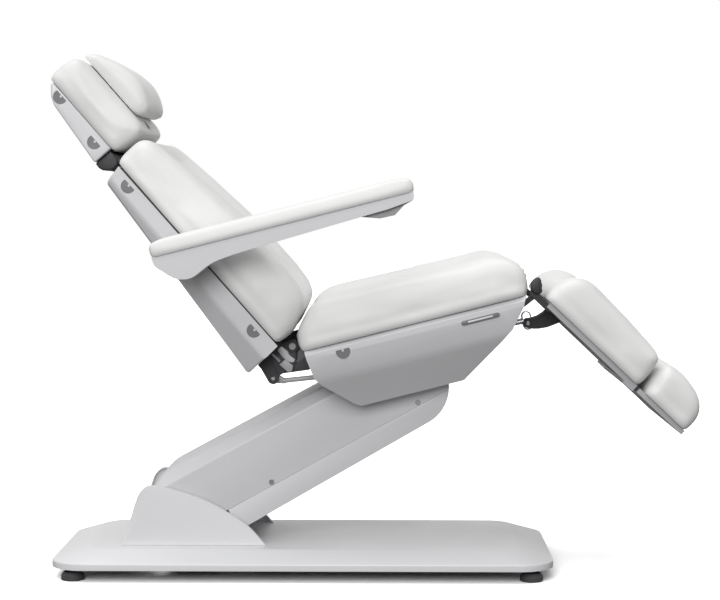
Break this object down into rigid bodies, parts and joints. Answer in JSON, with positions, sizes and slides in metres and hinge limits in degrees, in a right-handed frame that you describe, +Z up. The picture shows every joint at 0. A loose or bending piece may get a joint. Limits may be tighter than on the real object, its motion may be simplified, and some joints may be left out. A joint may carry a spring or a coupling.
{
  "type": "electric facial bed",
  "caption": "Electric facial bed with a lifting arm on a flat base, a tilting seat, a reclining back with headrest and armrests, and a folding leg rest with a sliding foot section.",
  "frame": {"origin": "on the floor, under the middle of the whole bed", "axes": "+X to the foot end, +Y to the side of the left hand of the person lying on it, +Z up"},
  "size_m": [1.5385, 0.85, 1.2485],
  "materials": {
    "upholstery": "soft satin",
    "moulded_cover": "satin",
    "painted_steel": "satin",
    "bright_steel": "brushed",
    "dark_plastic": "matte",
    "foot_rubber": "matte",
    "bush_metal": "turned",
    "plywood": "raw"
  },
  "bodies": {
    "base": {"base_frame": "painted_steel", "base_cover": "moulded_cover", "levelling_feet": "foot_rubber", "left_cheek_cover": "moulded_cover", "right_cheek_cover": "moulded_cover", "control_box": "dark_plastic", "mains_inlet": "dark_plastic", "control_sockets": "dark_plastic", "pedestal_pins": "bright_steel"},
    "lift_arm": {"arm_frame": "painted_steel", "arm_upper_cover": "moulded_cover", "arm_lower_cover": "moulded_cover", "arm_bushes": "bush_metal", "lift_motor": "dark_plastic", "arm_cover_screws": "bright_steel"},
    "lift_rod_body": {"lift_rod": "bright_steel"},
    "tie_link": {"levelling_link": "painted_steel"},
    "carrier": {"seat_carrier": "painted_steel", "carrier_pins": "bright_steel", "tilt_motor": "dark_plastic"},
    "tilt_rod_body": {"tilt_rod": "bright_steel"},
    "seat": {"seat_frame": "painted_steel", "seat_board": "plywood", "seat_cover": "moulded_cover", "seat_cushion": "upholstery", "seat_clips": "moulded_cover", "side_slot_trims": "moulded_cover", "back_motor": "dark_plastic", "leg_motor": "dark_plastic", "back_hinge_pins": "bright_steel", "leg_hinge_pins": "bright_steel"},
    "back_rod_body": {"back_rod": "bright_steel"},
    "leg_rod_body": {"leg_rod": "bright_steel"},
    "back": {"back_frame": "painted_steel", "back_board": "plywood", "back_cover": "moulded_cover", "back_cushion": "upholstery", "back_clips": "moulded_cover", "head_hinge_barrel": "painted_steel"},
    "head": {"head_frame": "painted_steel", "head_cover": "moulded_cover", "head_cushion": "upholstery", "head_clips": "moulded_cover", "pillow_strap": "upholstery"},
    "pillow": {"face_pillow": "upholstery"},
    "hub_left": {"left_arm_hub": "painted_steel"},
    "hub_right": {"right_arm_hub": "painted_steel"},
    "armrest_left": {"left_arm_shell": "moulded_cover", "left_arm_pad": "upholstery", "left_arm_grip": "moulded_cover"},
    "armrest_right": {"right_arm_shell": "moulded_cover", "right_arm_pad": "upholstery", "right_arm_grip": "moulded_cover"},
    "leg": {"leg_frame": "painted_steel", "leg_cushion": "upholstery"},
    "foot": {"foot_slide": "painted_steel", "foot_cushion": "upholstery"}
  },
  "joints": [
    {"name": "lift", "type": "hinge", "parent": "base", "child": "lift_arm", "pos_m": [-0.443, 0, 0.168], "axis": [0, -1, 0], "range_deg": [-16.8, 21.2]},
    {"name": "link_swing", "type": "hinge", "parent": "base", "child": "tie_link", "pos_m": [-0.47287, 0, 0.21772], "axis": [0, -1, 0], "range_deg": [-16.8, 21.2]},
    {"name": "carrier_level", "type": "hinge", "parent": "lift_arm", "child": "carrier", "pos_m": [0.08278, 0, 0.45705], "axis": [0, -1, 0], "range_deg": [-21.2, 16.8]},
    {"name": "lift_rod_slide", "type": "slide", "parent": "lift_arm", "child": "lift_rod_body", "axis": [0.8763, 0, 0.4817], "range_m": [-0.0226, 0.0179]},
    {"name": "seat_tilt", "type": "hinge", "parent": "carrier", "child": "seat", "pos_m": [0.07078, 0, 0.57955], "axis": [0, -1, 0], "range_deg": [-14.2, 5]},
    {"name": "tilt_rod_slide", "type": "slide", "parent": "carrier", "child": "tilt_rod_body", "axis": [-0.1668, 0, 0.986], "range_m": [-0.031, 0.011]},
    {"name": "back_recline", "type": "hinge", "parent": "seat", "child": "back", "pos_m": [-0.19254, 0, 0.55624], "axis": [0, -1, 0], "range_deg": [0, 63]},
    {"name": "back_rod_slide", "type": "slide", "parent": "seat", "child": "back_rod_body", "axis": [0.9942, 0, 0.108], "range_m": [0, 0.0933]},
    {"name": "leg_lift", "type": "hinge", "parent": "seat", "child": "leg", "pos_m": [0.3816, 0, 0.70462], "axis": [0, -1, 0], "range_deg": [-5, 57.7]},
    {"name": "leg_rod_slide", "type": "slide", "parent": "seat", "child": "leg_rod_body", "axis": [0.981, 0, 0.1942], "range_m": [-0.0082, 0.0936]},
    {"name": "head_tilt", "type": "hinge", "parent": "back", "child": "head", "pos_m": [-0.62077, 0, 0.99075], "axis": [0, -1, 0], "range_deg": [0, 45]},
    {"name": "pillow_slide", "type": "slide", "parent": "head", "child": "pillow", "axis": [0.6587, 0, -0.7524], "range_m": [-0.01, 0.03]},
    {"name": "foot_extend", "type": "slide", "parent": "leg", "child": "foot", "axis": [0.7254, 0, -0.6884], "range_m": [0, 0.15]},
    {"name": "hub_level_left", "type": "hinge", "parent": "back", "child": "hub_left", "pos_m": [-0.41592, 0.372, 0.75675], "axis": [0, -1, 0], "range_deg": [-63, 0]},
    {"name": "armrest_raise_left", "type": "hinge", "parent": "hub_left", "child": "armrest_left", "pos_m": [-0.41592, 0.372, 0.75675], "axis": [0, -1, 0], "range_deg": [0, 85]},
    {"name": "hub_level_right", "type": "hinge", "parent": "back", "child": "hub_right", "pos_m": [-0.41592, -0.372, 0.75675], "axis": [0, -1, 0], "range_deg": [-63, 0]},
    {"name": "armrest_raise_right", "type": "hinge", "parent": "hub_right", "child": "armrest_right", "pos_m": [-0.41592, -0.372, 0.75675], "axis": [0, -1, 0], "range_deg": [0, 85]}
  ],
  "couplings": [
    {"joint": "link_swing", "follows": "lift", "ratio": 1},
    {"joint": "carrier_level", "follows": "lift", "ratio": -1},
    {"joint": "lift_rod_slide", "follows": "lift", "m_per_rad": -0.0609},
    {"joint": "tilt_rod_slide", "follows": "seat_tilt", "m_per_rad": 0.1244},
    {"joint": "back_rod_slide", "follows": "back_recline", "m_per_rad": 0.0847},
    {"joint": "leg_rod_slide", "follows": "leg_lift", "m_per_rad": 0.0928},
    {"joint": "hub_level_left", "follows": "back_recline", "ratio": -1},
    {"joint": "hub_level_right", "follows": "back_recline", "ratio": -1}
  ]
}
